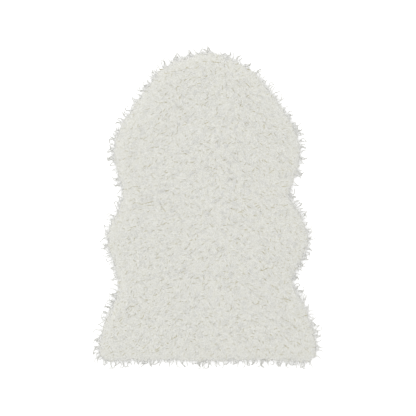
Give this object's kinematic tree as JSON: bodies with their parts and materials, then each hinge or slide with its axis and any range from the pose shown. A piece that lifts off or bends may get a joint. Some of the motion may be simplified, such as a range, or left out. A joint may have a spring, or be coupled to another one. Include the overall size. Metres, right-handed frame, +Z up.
{
  "type": "sheepskin rug",
  "caption": "Flat white sheepskin rug, wool side up, with a rounded head, waisted sides, a straight flared base and curly locks of wool round its rim.",
  "frame": {"origin": "on the surface the rug lies on, at the middle of the rectangle that its wool covers", "axes": "+Y up the rug towards its rounded head, +Z up out of the wool, +X to the right seen from above with the head at the top"},
  "size_m": [0.602, 0.85, 0.0349],
  "materials": {
    "white_wool": "dense curly off-white wool pile, matt with a soft sheen, beige-olive down in its partings",
    "suede_back": "pale buff suede, the plain flesh side of the skin"
  },
  "bodies": {
    "root": {"sheepskin": "white_wool"}
  },
  "joints": []
}
